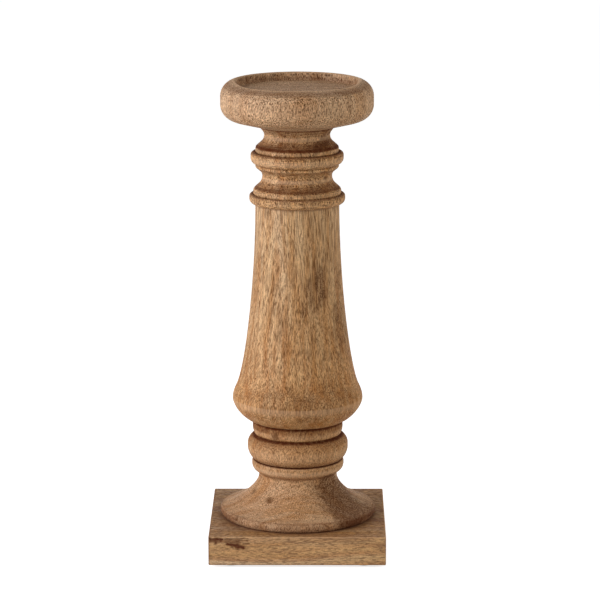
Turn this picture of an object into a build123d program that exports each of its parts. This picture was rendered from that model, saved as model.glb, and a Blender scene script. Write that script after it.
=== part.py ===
from build123d import *
from math import acos, atan2, cos, hypot, radians, sin, tan
import os

# Turned wooden candle stand, in millimetres. The origin lies on the table under the middle
# of the plinth, and +Z runs up the axis that the column was turned on. The front is -Y.

# Felt pads under the corners of the plinth
pad_diameter = 18
pad_thickness = 2
pad_edge_round = 0.5
pad_inset = 15

# Plinth, a square board with eased edges
plinth_side = 120
plinth_height = 20
plinth_edge_round = 0.8

# Foot: bulging rim, bell flare, waist, collar, torus ring and upper collar, from the plinth up.
# The side shares of a ring say where its straight side begins and ends.
foot_radius = 53.4
foot_seat_radius = 51.5
foot_arris_radius = 52.5
foot_rim_height = 6.3
foot_rim_crest_share = 0.45
foot_waist_radius = 26.9
foot_flare_height = 21.6
foot_flare_waist_share = 0.31
foot_flare_rim_shares = (0.545, 0.147)
foot_cove_radius = 28.1
foot_cove_height = 3.3
lower_collar_radius = 31.65
lower_collar_height = 8.15
lower_collar_side_shares = (0.61, 0.8)
lower_groove_radius = 29.6
foot_torus_radius = 34.55
foot_torus_height = 17.75
foot_torus_side_shares = (0.51, 0.62)
upper_groove_radius = 29.4
upper_collar_radius = 31
upper_collar_height = 9.9
upper_collar_side_shares = (0.57, 0.88)
upper_collar_top_radius = 29.85
foot_tenon_diameter = 25
foot_tenon_length = 12

# Shaft: round seat, bulb and a long hollow flank up to the neck
shaft_height = 151.1
shaft_seat_radius = 31.3
shaft_top_radius = 28.55
bulb_radius = 44.7
bulb_height = 15.7
bulb_under_nose_share = 0.22
bulb_under_seat_shares = (0.67, 0.23)
shoulder_radius = 42.3
shoulder_height = 8.45
shoulder_slope_share = 0.5
shoulder_handle_share = 0.3
shoulder_nose_share = 0.35
flank_top_share = 0.4
flank_shoulder_share = 0.1

# Neck: bead, lip, lower hollow, thin lip, torus ring, lip and upper hollow, from the shaft up
neck_bottom_radius = 29.2
bead_radius = 32.55
bead_height = 6.05
bead_side_shares = (0.57, 0.84)
bead_top_radius = 29.4
lower_lip_radius = 29.9
lower_lip_height = 5.05
lower_lip_side_shares = (0.4, 0.5)
lower_shoulder_radius = 28.7
lower_cove_height = 13.6
lower_throat_radius = 23.65
lower_throat_share = 0.585
lower_bend_shares = (0.56, 0.335)
middle_lip_radius = 28.3
middle_lip_height = 2.3
middle_lip_side_shares = (0.4, 0.6)
middle_shoulder_radius = 27.95
neck_torus_radius = 31.5
neck_torus_height = 7.95
neck_torus_side_shares = (0.54, 0.79)
neck_torus_top_radius = 27.8
upper_lip_radius = 28.25
upper_lip_height = 4.15
upper_lip_side_shares = (0.4, 0.53)
upper_shoulder_radius = 27.9
upper_cove_height = 13.6
upper_throat_radius = 22.3
upper_throat_share = 0.565
upper_bend_shares = (0.44, 0.34)
neck_top_radius = 25.6

# Dish with a flat round recess for a pillar candle
dish_radius = 51.8
dish_height = 31.2
dish_seat_radius = 26
dish_under_radius = 43.6
dish_under_rise = 4.5
dish_side_bottom = 15.1
dish_side_top = 20.5
recess_radius = 41.3
recess_depth = 5.8
recess_edge_width = 1.7
recess_edge_drop = 1.5
recess_floor_round = 0.8

# Fluted dowels that join the turned sections
dowel_diameter = 16
dowel_chamfer = 1.2
dowel_fit = 0.1
dowel_end_gap = 0.8
flute_count = 12
flute_radius = 0.6
foot_dowel_length = 50
neck_dowel_length = 40
dish_dowel_length = 36

# Countersunk wood screws, driven from below
screw_count = 4
screw_circle_radius = 22
screw_diameter = 4.5
screw_head_diameter = 9
screw_length = 34
screw_tip_length = 5
screw_tip_share = 0.25
screw_sink = 0.6
screw_fit = 0.15
screw_head_angle = 90
screw_recess_length = 5
screw_recess_width = 1.3
screw_recess_depth = 2.2
screw_recess_taper = 8

# Levels of the stack above the table
plinth_bottom = pad_thickness
plinth_top = plinth_bottom + plinth_height
foot_collar_bottom = foot_rim_height + foot_flare_height + foot_cove_height
foot_torus_bottom = foot_collar_bottom + lower_collar_height
foot_torus_top = foot_torus_bottom + foot_torus_height
foot_height = foot_torus_top + upper_collar_height
shaft_bottom = plinth_top + foot_height
neck_bottom = shaft_bottom + shaft_height
lower_lip_bottom = bead_height
lower_cove_bottom = lower_lip_bottom + lower_lip_height
middle_lip_bottom = lower_cove_bottom + lower_cove_height
neck_torus_bottom = middle_lip_bottom + middle_lip_height
upper_lip_bottom = neck_torus_bottom + neck_torus_height
upper_cove_bottom = upper_lip_bottom + upper_lip_height
neck_height = upper_cove_bottom + upper_cove_height
dish_bottom = neck_bottom + neck_height
dowel_hole_radius = dowel_diameter / 2 + dowel_fit
screw_seat = plinth_bottom + screw_sink
screw_pilot_depth = screw_seat + screw_length + screw_fit - plinth_top


def turning_plane(height):
    """Plane that holds half a turned section: local x is the radius, local y the height."""
    return Plane(origin=(0, 0, height), x_dir=(1, 0, 0), z_dir=(0, -1, 0))


def level(height):
    """Level plane that faces up, for holes that are drilled down into a piece."""
    return Plane(origin=(0, 0, height))


def underside(height):
    """Level plane that faces down, for holes that are drilled up into a piece."""
    return Plane(origin=(0, 0, height), x_dir=(1, 0, 0), z_dir=(0, 0, -1))


def draw_ring(foot, top, radius, side_shares):
    """Ring on a turned outline: a round from its foot to its straight side, and a round in to its top."""
    height = top[1] - foot[1]
    side_low = (radius, foot[1] + side_shares[0] * height)
    side_high = (radius, foot[1] + side_shares[1] * height)
    TangentArc(side_low, foot, tangent=(0, -1))
    Line(side_low, side_high)
    TangentArc(side_high, top, tangent=(0, 1))


def draw_cove(lower, upper, throat_radius, throat_share, bend_shares):
    """Hollow on a turned outline: from each end a straight flank, then a round bend into the throat."""
    height = upper[1] - lower[1]
    throat = (throat_radius, lower[1] + throat_share * height)
    for end, side, bend_share in zip((lower, upper), (-1, 1), bend_shares):
        bend = bend_share * height
        away = (end[0] - throat_radius - bend, end[1] - throat[1])
        turn = atan2(away[1], away[0]) + side * acos(bend / hypot(*away))
        touch = (throat_radius + bend + bend * cos(turn), throat[1] + bend * sin(turn))
        Line(end, touch)
        TangentArc(throat, touch, tangent=(0, side))


def make_dowel(height, length):
    """Fluted dowel with chamfered ends, centred on the turning axis at the given height."""
    with BuildPart(level(height)) as dowel:
        Cylinder(dowel_diameter / 2, length)
        chamfer(dowel.edges().filter_by(GeomType.CIRCLE), length=dowel_chamfer)
        with PolarLocations(dowel_diameter / 2, flute_count):
            Cylinder(flute_radius, length, mode=Mode.SUBTRACT)
    return dowel.part


# Plinth: mortise for the foot's tenon above, countersunk screw holes below
with BuildPart() as plinth:
    with BuildSketch(level(plinth_bottom)):
        Rectangle(plinth_side, plinth_side)
    extrude(amount=plinth_height)
    fillet(plinth.edges(), radius=plinth_edge_round)
    with Locations(level(plinth_top)):
        Hole(foot_tenon_diameter / 2 + dowel_fit, depth=foot_tenon_length + dowel_end_gap)
    with Locations(underside(plinth_bottom)):
        with PolarLocations(screw_circle_radius, screw_count, start_angle=180 / screw_count):
            CounterSinkHole(
                screw_diameter / 2 + screw_fit,
                screw_head_diameter / 2 + screw_fit + screw_sink * tan(radians(screw_head_angle / 2)),
                depth=plinth_height,
                counter_sink_angle=screw_head_angle,
            )

# Foot: outline from the tenon, round the rim, up the flare and over the rings
with BuildPart() as foot:
    with BuildSketch(turning_plane(plinth_top)):
        with BuildLine():
            tenon_radius = foot_tenon_diameter / 2
            rim_foot = (foot_seat_radius, 0)
            rim_crest = (foot_radius, foot_rim_crest_share * foot_rim_height)
            arris = (foot_arris_radius, foot_rim_height)
            waist = (foot_waist_radius, foot_rim_height + foot_flare_height)
            flare_reach = foot_flare_rim_shares[0] * (foot_arris_radius - foot_waist_radius)
            flare_rise = foot_flare_rim_shares[1] * foot_flare_height
            collar_foot = (foot_cove_radius, foot_collar_bottom)
            torus_foot = (lower_groove_radius, foot_torus_bottom)
            torus_top = (upper_groove_radius, foot_torus_top)
            collar_top = (upper_collar_top_radius, foot_height)
            Polyline(
                collar_top,
                (0, foot_height),
                (0, -foot_tenon_length),
                (tenon_radius, -foot_tenon_length),
                (tenon_radius, 0),
                rim_foot,
            )
            ThreePointArc(rim_foot, rim_crest, arris)
            Bezier(
                arris,
                (foot_arris_radius - flare_reach, foot_rim_height + flare_rise),
                (foot_waist_radius, waist[1] - foot_flare_waist_share * foot_flare_height),
                waist,
            )
            TangentArc(waist, collar_foot, tangent=(0, 1))
            draw_ring(collar_foot, torus_foot, lower_collar_radius, lower_collar_side_shares)
            draw_ring(torus_foot, torus_top, foot_torus_radius, foot_torus_side_shares)
            draw_ring(torus_top, collar_top, upper_collar_radius, upper_collar_side_shares)
        make_face()
    revolve(axis=Axis.Z)
    with Locations(level(shaft_bottom)):
        Hole(dowel_hole_radius, depth=foot_dowel_length / 2 + dowel_end_gap)
    with Locations(underside(plinth_top)):
        with PolarLocations(screw_circle_radius, screw_count, start_angle=180 / screw_count):
            Hole(screw_diameter / 2 + screw_fit, depth=screw_pilot_depth)

# Shaft: outline from the seat, round the bulb and up the flank
with BuildPart() as shaft:
    with BuildSketch(turning_plane(shaft_bottom)):
        with BuildLine():
            seat_edge = (shaft_seat_radius, 0)
            nose = (bulb_radius, bulb_height)
            shoulder = (shoulder_radius, bulb_height + shoulder_height)
            flank_top = (shaft_top_radius, shaft_height)
            shoulder_drop = shoulder_handle_share * shoulder_height
            flank_height = shaft_height - shoulder[1]
            flank_rise = flank_shoulder_share * flank_height
            Polyline(flank_top, (0, shaft_height), (0, 0), seat_edge)
            Bezier(
                seat_edge,
                (
                    shaft_seat_radius + bulb_under_seat_shares[0] * (bulb_radius - shaft_seat_radius),
                    bulb_under_seat_shares[1] * bulb_height,
                ),
                (bulb_radius, bulb_height - bulb_under_nose_share * bulb_height),
                nose,
            )
            Bezier(
                nose,
                (bulb_radius, bulb_height + shoulder_nose_share * shoulder_height),
                (shoulder_radius + shoulder_slope_share * shoulder_drop, shoulder[1] - shoulder_drop),
                shoulder,
            )
            Bezier(
                shoulder,
                (shoulder_radius - shoulder_slope_share * flank_rise, shoulder[1] + flank_rise),
                (shaft_top_radius, shaft_height - flank_top_share * flank_height),
                flank_top,
            )
        make_face()
    revolve(axis=Axis.Z)
    with Locations(underside(shaft_bottom)):
        Hole(dowel_hole_radius, depth=foot_dowel_length / 2 + dowel_end_gap)
    with Locations(level(neck_bottom)):
        Hole(dowel_hole_radius, depth=neck_dowel_length / 2 + dowel_end_gap)

# Neck: bead, lips, hollows and torus ring
with BuildPart() as neck:
    with BuildSketch(turning_plane(neck_bottom)):
        with BuildLine():
            bead_foot = (neck_bottom_radius, 0)
            bead_top = (bead_top_radius, lower_lip_bottom)
            lower_shoulder = (lower_shoulder_radius, lower_cove_bottom)
            middle_shoulder = (middle_shoulder_radius, middle_lip_bottom)
            torus_foot = (middle_shoulder_radius, neck_torus_bottom)
            torus_top = (neck_torus_top_radius, upper_lip_bottom)
            upper_shoulder = (upper_shoulder_radius, upper_cove_bottom)
            upper_end = (neck_top_radius, neck_height)
            Polyline(upper_end, (0, neck_height), (0, 0), bead_foot)
            draw_ring(bead_foot, bead_top, bead_radius, bead_side_shares)
            draw_ring(bead_top, lower_shoulder, lower_lip_radius, lower_lip_side_shares)
            draw_cove(
                lower_shoulder, middle_shoulder, lower_throat_radius, lower_throat_share, lower_bend_shares
            )
            draw_ring(middle_shoulder, torus_foot, middle_lip_radius, middle_lip_side_shares)
            draw_ring(torus_foot, torus_top, neck_torus_radius, neck_torus_side_shares)
            draw_ring(torus_top, upper_shoulder, upper_lip_radius, upper_lip_side_shares)
            draw_cove(
                upper_shoulder, upper_end, upper_throat_radius, upper_throat_share, upper_bend_shares
            )
        make_face()
    revolve(axis=Axis.Z)
    with Locations(underside(neck_bottom)):
        Hole(dowel_hole_radius, depth=neck_dowel_length / 2 + dowel_end_gap)
    with Locations(level(dish_bottom)):
        Hole(dowel_hole_radius, depth=dish_dowel_length / 2 + dowel_end_gap)

# Dish: outline from the seat, out under the bowl, over the rim and down into the recess
with BuildPart() as dish:
    with BuildSketch(turning_plane(dish_bottom)):
        with BuildLine():
            under_edge = (dish_under_radius, dish_under_rise)
            side_low = (dish_radius, dish_side_bottom)
            side_high = (dish_radius, dish_side_top)
            rim_crest = (recess_radius + recess_edge_width, dish_height)
            wall_top = (recess_radius, dish_height - recess_edge_drop)
            recess_floor = dish_height - recess_depth
            wall_bottom = (recess_radius, recess_floor + recess_floor_round)
            floor_edge = (recess_radius - recess_floor_round, recess_floor)
            Polyline(floor_edge, (0, recess_floor), (0, 0), (dish_seat_radius, 0), under_edge)
            TangentArc(side_low, under_edge, tangent=(0, -1))
            Line(side_low, side_high)
            TangentArc(side_high, rim_crest, tangent=(0, 1))
            TangentArc(wall_top, rim_crest, tangent=(0, 1))
            Line(wall_top, wall_bottom)
            TangentArc(wall_bottom, floor_edge, tangent=(0, -1))
        make_face()
    revolve(axis=Axis.Z)
    with Locations(underside(dish_bottom)):
        Hole(dowel_hole_radius, depth=dish_dowel_length / 2 + dowel_end_gap)

# One countersunk screw on its own axis, head down, with a cross recess
with BuildPart() as screw:
    with BuildSketch(turning_plane(screw_seat)):
        head_radius = screw_head_diameter / 2
        shank_radius = screw_diameter / 2
        head_height = (head_radius - shank_radius) / tan(radians(screw_head_angle / 2))
        with BuildLine():
            Polyline(
                (0, 0),
                (head_radius, 0),
                (shank_radius, head_height),
                (shank_radius, screw_length - screw_tip_length),
                (screw_tip_share * shank_radius, screw_length),
                (0, screw_length),
                close=True,
            )
        make_face()
    revolve(axis=Axis.Z)
    with BuildSketch(level(screw_seat)):
        Rectangle(screw_recess_length, screw_recess_width)
        Rectangle(screw_recess_width, screw_recess_length)
    extrude(amount=screw_recess_depth, taper=screw_recess_taper, mode=Mode.SUBTRACT)

# The set of screws, one under each quarter of the foot
with BuildPart() as plinth_screws:
    with PolarLocations(screw_circle_radius, screw_count, start_angle=180 / screw_count):
        add(screw.part)

foot_dowel = make_dowel(shaft_bottom, foot_dowel_length)
neck_dowel = make_dowel(neck_bottom, neck_dowel_length)
dish_dowel = make_dowel(dish_bottom, dish_dowel_length)

pieces = {
    "plinth": plinth.part,
    "foot": foot.part,
    "shaft": shaft.part,
    "neck": neck.part,
    "dish": dish.part,
    "foot_dowel": foot_dowel,
    "neck_dowel": neck_dowel,
    "dish_dowel": dish_dowel,
    "plinth_screws": plinth_screws.part,
}

# Felt pads, one under each corner, with a rounded lower edge
pad_reach = plinth_side / 2 - pad_inset
pad_corners = {
    "front_left": (-pad_reach, -pad_reach),
    "front_right": (pad_reach, -pad_reach),
    "back_left": (-pad_reach, pad_reach),
    "back_right": (pad_reach, pad_reach),
}
for corner, place in pad_corners.items():
    with BuildPart(Plane(origin=(*place, 0))) as felt_pad:
        Cylinder(pad_diameter / 2, pad_thickness, align=(Align.CENTER, Align.CENTER, Align.MIN))
        fillet(felt_pad.edges().group_by(Axis.Z)[0], radius=pad_edge_round)
    pieces["felt_pad_" + corner] = felt_pad.part

os.makedirs("parts", exist_ok=True)
for name, piece in pieces.items():
    piece.label = name
    export_step(piece, "parts/" + name + ".step")
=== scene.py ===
from math import pi, radians

import bpy
import numpy as np
from bpy.props import FloatProperty, FloatVectorProperty, IntProperty, PointerProperty
from mathutils import Euler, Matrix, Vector


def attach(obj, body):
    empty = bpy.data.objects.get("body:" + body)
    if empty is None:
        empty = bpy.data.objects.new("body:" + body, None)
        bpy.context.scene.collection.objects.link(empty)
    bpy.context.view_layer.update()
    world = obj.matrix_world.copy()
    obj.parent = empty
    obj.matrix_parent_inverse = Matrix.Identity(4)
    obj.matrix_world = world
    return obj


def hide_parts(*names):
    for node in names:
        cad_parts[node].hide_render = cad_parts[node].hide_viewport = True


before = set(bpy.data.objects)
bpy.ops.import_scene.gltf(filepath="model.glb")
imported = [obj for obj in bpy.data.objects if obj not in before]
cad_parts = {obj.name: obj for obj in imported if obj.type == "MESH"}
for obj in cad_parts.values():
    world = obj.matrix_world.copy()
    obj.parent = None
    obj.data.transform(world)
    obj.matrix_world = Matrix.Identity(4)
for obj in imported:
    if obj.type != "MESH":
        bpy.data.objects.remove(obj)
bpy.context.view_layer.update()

bl_info = {
    "name": "Turned candle stand",
    "version": (1, 0, 0),
    "blender": (4, 5, 0),
    "location": "3D View > Sidebar > Candle stand",
    "description": "Dresses the CAD frame of a turned wooden candle stand",
    "category": "Add Mesh",
}

MM = 0.001
# Faces that meet at more than this shade as a sharp arris
SHARP_ANGLE = radians(50)

# Sizes of the solids, in millimetres and shares, with the names that the CAD source gives them
plinth_side = 120
plinth_height = 20
plinth_bottom = 2
plinth_edge_round = 0.8
foot_radius = 53.4
foot_seat_radius = 51.5
foot_arris_radius = 52.5
foot_rim_height = 6.3
foot_rim_crest_share = 0.45
foot_waist_radius = 26.9
foot_flare_height = 21.6
foot_flare_waist_share = 0.31
foot_flare_rim_shares = (0.545, 0.147)
foot_cove_radius = 28.1
foot_cove_height = 3.3
lower_collar_radius = 31.65
lower_collar_height = 8.15
lower_collar_side_shares = (0.61, 0.8)
lower_groove_radius = 29.6
foot_torus_radius = 34.55
foot_torus_height = 17.75
foot_torus_side_shares = (0.51, 0.62)
upper_groove_radius = 29.4
upper_collar_radius = 31
upper_collar_height = 9.9
upper_collar_side_shares = (0.57, 0.88)
upper_collar_top_radius = 29.85
foot_tenon_diameter = 25
foot_tenon_length = 12
shaft_height = 151.1
shaft_seat_radius = 31.3
shaft_top_radius = 28.55
bulb_radius = 44.7
bulb_height = 15.7
bulb_under_nose_share = 0.22
bulb_under_seat_shares = (0.67, 0.23)
shoulder_radius = 42.3
shoulder_height = 8.45
shoulder_slope_share = 0.5
shoulder_handle_share = 0.3
shoulder_nose_share = 0.35
flank_top_share = 0.4
flank_shoulder_share = 0.1
neck_bottom_radius = 29.2
bead_radius = 32.55
bead_height = 6.05
bead_side_shares = (0.57, 0.84)
bead_top_radius = 29.4
lower_lip_radius = 29.9
lower_lip_height = 5.05
lower_lip_side_shares = (0.4, 0.5)
lower_shoulder_radius = 28.7
lower_cove_height = 13.6
lower_throat_radius = 23.65
lower_throat_share = 0.585
lower_bend_shares = (0.56, 0.335)
middle_lip_radius = 28.3
middle_lip_height = 2.3
middle_lip_side_shares = (0.4, 0.6)
middle_shoulder_radius = 27.95
neck_torus_radius = 31.5
neck_torus_height = 7.95
neck_torus_side_shares = (0.54, 0.79)
neck_torus_top_radius = 27.8
upper_lip_radius = 28.25
upper_lip_height = 4.15
upper_lip_side_shares = (0.4, 0.53)
upper_shoulder_radius = 27.9
upper_cove_height = 13.6
upper_throat_radius = 22.3
upper_throat_share = 0.565
upper_bend_shares = (0.44, 0.34)
neck_top_radius = 25.6
dish_radius = 51.8
dish_height = 31.2
dish_seat_radius = 26
dish_under_radius = 43.6
dish_under_rise = 4.5
dish_side_bottom = 15.1
dish_side_top = 20.5
recess_radius = 41.3
recess_depth = 5.8
recess_edge_width = 1.7
recess_edge_drop = 1.5
recess_floor_round = 0.8
dowel_hole_radius = 8.1
foot_dowel_depth = 25.8
neck_dowel_depth = 20.8
dish_dowel_depth = 18.8
mortise_radius = 12.6
mortise_depth = 12.8
screw_circle_radius = 22
screw_hole_radius = 2.4
screw_pilot_depth = 14.75
countersink_radius = 5.25

# Levels of the stack above the table, in millimetres
plinth_top = plinth_bottom + plinth_height
foot_collar_bottom = plinth_top + foot_rim_height + foot_flare_height + foot_cove_height
foot_torus_bottom = foot_collar_bottom + lower_collar_height
foot_torus_top = foot_torus_bottom + foot_torus_height
shaft_bottom = foot_torus_top + upper_collar_height
neck_bottom = shaft_bottom + shaft_height
lower_lip_bottom = neck_bottom + bead_height
lower_cove_bottom = lower_lip_bottom + lower_lip_height
middle_lip_bottom = lower_cove_bottom + lower_cove_height
neck_torus_bottom = middle_lip_bottom + middle_lip_height
upper_lip_bottom = neck_torus_bottom + neck_torus_height
upper_cove_bottom = upper_lip_bottom + upper_lip_height
dish_bottom = upper_cove_bottom + upper_cove_height


def linear(code):
    """Linear colour of an sRGB hex code."""
    srgb = np.array([int(code[start:start + 2], 16) for start in (1, 3, 5)]) / 255
    return tuple(np.where(srgb <= 0.04045, srgb / 12.92, ((srgb + 0.055) / 1.055) ** 2.4))


def colour_of(name, description, code):
    """Colour property with a hex default."""
    return FloatVectorProperty(
        name=name, description=description, default=linear(code), subtype="COLOR", size=3, min=0, max=1
    )


def length_of(name, description, size, least=0):
    """Length property, its size and least size given in millimetres."""
    return FloatProperty(
        name=name, description=description, default=size * MM, min=least * MM, unit="LENGTH", precision=5
    )


class STAND_PG_shape(bpy.types.PropertyGroup):
    """Sizes of the turned surfaces and of the wear on them."""

    columns: IntProperty(
        name="Columns", description="Faces round a turned piece", default=256, min=64, max=320
    )
    outline_step: length_of("Outline step", "Spacing of points along a turned outline", 0.45, 0.2)
    out_of_round: length_of("Out of round", "How far the sanded turning strays from a true circle", 0.16)
    rim_wear: length_of("Rim wear", "How far the dish's rim is worn down at the front", 1.8)
    split_depth: length_of("Split depth", "Depth of the split at the plinth's front corner", 0.4)


class STAND_PG_wood(bpy.types.PropertyGroup):
    """Colours and grain sizes of the wood."""

    pale: colour_of("Pale wood", "Sapwood and the light streaks", "#DFBA94")
    brown: colour_of("Brown wood", "Dark streaks between the light ones", "#A76F3C")
    golden: colour_of("Golden wood", "Warm yellow bands", "#CA965A")
    # Heartwood colour, also painted as shade on the plinth's top
    heartwood_and_shade: colour_of("Heartwood", "Dark heart patches", "#5E3510")
    smoke: colour_of("Smoky streaks", "Grey brown streaks in the sapwood", "#8A6947")
    pore: colour_of("Pores", "Open pores filled with stain", "#4E2C12")
    # Stain colour, also painted as shade in grooves, hollows and under overhangs
    stain_and_shade_colour: colour_of("Stain", "Wax and stain left in the grooves", "#542402")
    # Colour of the rubbed arrises, also painted as highlights on ring faces, throats and the bulb's nose
    worn: colour_of("Worn arris", "Rubbed edges of the rings", "#E0B68C")
    pore_width: length_of("Pore width", "Spacing of the pores across the grain", 0.46, 0.1)
    pore_length: length_of("Pore length", "Spacing of the pores along the grain", 7, 0.5)
    streak_width: length_of("Streak width", "Width of the colour streaks", 5, 0.5)
    ring_spacing: length_of("Ring spacing", "Width of one growth ring", 4.5, 0.5)
    roughness: FloatProperty(
        name="Roughness", description="Roughness of the oiled surface", default=0.58, min=0, max=1,
        subtype="FACTOR",
    )


class STAND_PG_studio(bpy.types.PropertyGroup):
    """Light levels and the camera."""

    key: FloatProperty(name="Key level", description="Light from the left softbox", default=0.88, min=0)
    fill: FloatProperty(name="Fill level", description="Light from the right softbox", default=0.29, min=0)
    sky: FloatProperty(name="Sky level", description="Even light from all round", default=0.28, min=0)
    distance: FloatProperty(
        name="Softbox distance", description="From the stand to each softbox", default=1.3, unit="LENGTH"
    )
    lens: FloatProperty(
        name="Lens", description="Focal length on a 36 mm sensor", default=173, unit="CAMERA"
    )


def smooth(low, high, value):
    """Soft step from 0 at low to 1 at high, t squared times (3 - 2 t)."""
    share = np.clip((value - low) / (high - low), 0, 1)
    return share * share * (3 - 2 * share)


def straight(start, end, step):
    """Points on the straight line from start to end, evenly spaced."""
    start, end = np.array(start, float), np.array(end, float)
    count = max(2, int(np.hypot(*(end - start)) / step) + 2)
    return start + (end - start) * np.linspace(0, 1, count)[:, None]


def tangent_arc(start, end, heading, step):
    """Points on the circle that leaves start along heading and passes through end."""
    start, end, heading = (np.array(value, float) for value in (start, end, heading))
    normal = np.array([-heading[1], heading[0]])
    chord = end - start
    radius = chord @ chord / (2 * chord @ normal)
    centre = start + normal * radius
    first = np.arctan2(*(start - centre)[::-1])
    last = np.arctan2(*(end - centre)[::-1])
    sweep = np.sign(radius) * ((np.sign(radius) * (last - first)) % (2 * pi))
    count = max(4, int(abs(sweep * radius) / step) + 2)
    turn = first + sweep * np.linspace(0, 1, count)
    return centre + abs(radius) * np.stack([np.cos(turn), np.sin(turn)], axis=1)


def bulge(start, crest, end, step):
    """Points on the circle through start, crest and end: two tangent arcs that meet at the crest."""
    start, crest, end = (np.array(value, float) for value in (start, crest, end))
    matrix = 2 * np.array([crest - start, end - start])
    centre = np.linalg.solve(matrix, [crest @ crest - start @ start, end @ end - start @ start])
    out = crest - centre
    heading = np.array([-out[1], out[0]]) / np.hypot(*out)
    return np.vstack([
        tangent_arc(crest, start, -heading, step)[::-1],
        tangent_arc(crest, end, heading, step),
    ])


def bezier(points, step):
    """Points on the cubic through the first and last point, drawn by the two handles between them."""
    points = np.array(points, float)
    count = int(np.hypot(*np.diff(points, axis=0).T).sum() / step) + 2
    share = np.linspace(0, 1, count)[:, None]
    rest = 1 - share
    weights = (rest ** 3, 3 * share * rest ** 2, 3 * share ** 2 * rest, share ** 3)
    return sum(weight * point for weight, point in zip(weights, points))


def ring(foot, top, radius, side_shares, step):
    """Ring: a round from its foot to a straight side, and a round in to its top."""
    height = top[1] - foot[1]
    low = (radius, foot[1] + side_shares[0] * height)
    high = (radius, foot[1] + side_shares[1] * height)
    return np.vstack([
        tangent_arc(low, foot, (0, -1), step)[::-1],
        straight(low, high, step),
        tangent_arc(high, top, (0, 1), step),
    ])


def cove(lower, upper, throat_radius, throat_share, bend_shares, step):
    """Hollow: from each end a straight flank, then a round bend into the throat."""
    height = upper[1] - lower[1]
    throat = np.array([throat_radius, lower[1] + throat_share * height])
    sides = []
    for end, side, bend_share in zip((lower, upper), (-1, 1), bend_shares):
        bend = bend_share * height
        centre = throat + (bend, 0)
        away = np.array(end) - centre
        turn = np.arctan2(away[1], away[0]) + side * np.arccos(bend / np.hypot(*away))
        touch = centre + bend * np.array([np.cos(turn), np.sin(turn)])
        sides.append(np.vstack([tangent_arc(throat, touch, (0, side), step), straight(touch, end, step)]))
    return np.vstack([sides[0][::-1], sides[1]])


def foot_outline(step):
    """Foot's outline in three runs (tenon, shown rim to rings, dowel hole), and its marks of stain, wear and
    painted light.

    A mark is a point, how far it reaches along the outline before and after that point, and its strength:
    above 0 it darkens with stain and painted shade, below 0 it lightens with rubbed wear and painted
    highlights.
    """
    waist_level = plinth_top + foot_rim_height + foot_flare_height
    rim_top = plinth_top + foot_rim_height
    arris = (foot_arris_radius, rim_top)
    waist = (foot_waist_radius, waist_level)
    flare_reach = foot_flare_rim_shares[0] * (foot_arris_radius - foot_waist_radius)
    flare_rise = foot_flare_rim_shares[1] * foot_flare_height
    collar_foot = (foot_cove_radius, foot_collar_bottom)
    torus_foot = (lower_groove_radius, foot_torus_bottom)
    torus_top = (upper_groove_radius, foot_torus_top)
    collar_top = (upper_collar_top_radius, shaft_bottom)
    tenon_radius = foot_tenon_diameter / 2
    tenon_bottom = plinth_top - foot_tenon_length
    below = [(0, tenon_bottom), (tenon_radius, tenon_bottom), (tenon_radius, plinth_top)]
    crest = (foot_radius, plinth_top + foot_rim_crest_share * foot_rim_height)
    shown = np.vstack([
        bulge((foot_seat_radius, plinth_top), crest, arris, step),
        bezier([
            arris,
            (foot_arris_radius - flare_reach, rim_top + flare_rise),
            (foot_waist_radius, waist_level - foot_flare_waist_share * foot_flare_height),
            waist,
        ], step),
        tangent_arc(waist, collar_foot, (0, 1), step),
        ring(collar_foot, torus_foot, lower_collar_radius, lower_collar_side_shares, step),
        ring(torus_foot, torus_top, foot_torus_radius, foot_torus_side_shares, step),
        ring(torus_top, collar_top, upper_collar_radius, upper_collar_side_shares, step),
    ])
    hole_bottom = shaft_bottom - foot_dowel_depth
    above = [(dowel_hole_radius, shaft_bottom), (dowel_hole_radius, hole_bottom), (0, hole_bottom)]
    collar_face = (lower_collar_radius, foot_collar_bottom + 0.4 * lower_collar_height)
    torus_face = (foot_torus_radius, foot_torus_bottom + 0.4 * foot_torus_height)
    upper_face = (upper_collar_radius, foot_torus_top + 0.4 * upper_collar_height)
    # Above 0: stain and painted shade at the seat, in the grooves and under the bulb; below 0: painted
    # highlights on the ring faces
    stain_and_light_marks = (
        ((foot_seat_radius, plinth_top), 1, 1.2, 1),
        (arris, 1.4, 0.9, 0.4),
        (collar_foot, 1.8, 1, 0.5),
        (collar_face, 1.6, 2, -0.9),
        (torus_foot, 1.5, 1.8, 1.2),
        (torus_foot, 1.5, 5, 0.4),
        (torus_face, 4, 4, -0.35),
        (torus_top, 3, 1.4, 1.2),
        (torus_top, 8, 1, 0.4),
        (upper_face, 2, 2, -0.5),
        (collar_top, 3, 1, 1.2),
        (collar_top, 6, 1, 0.65),
    )
    return below, shown, above, stain_and_light_marks


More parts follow.
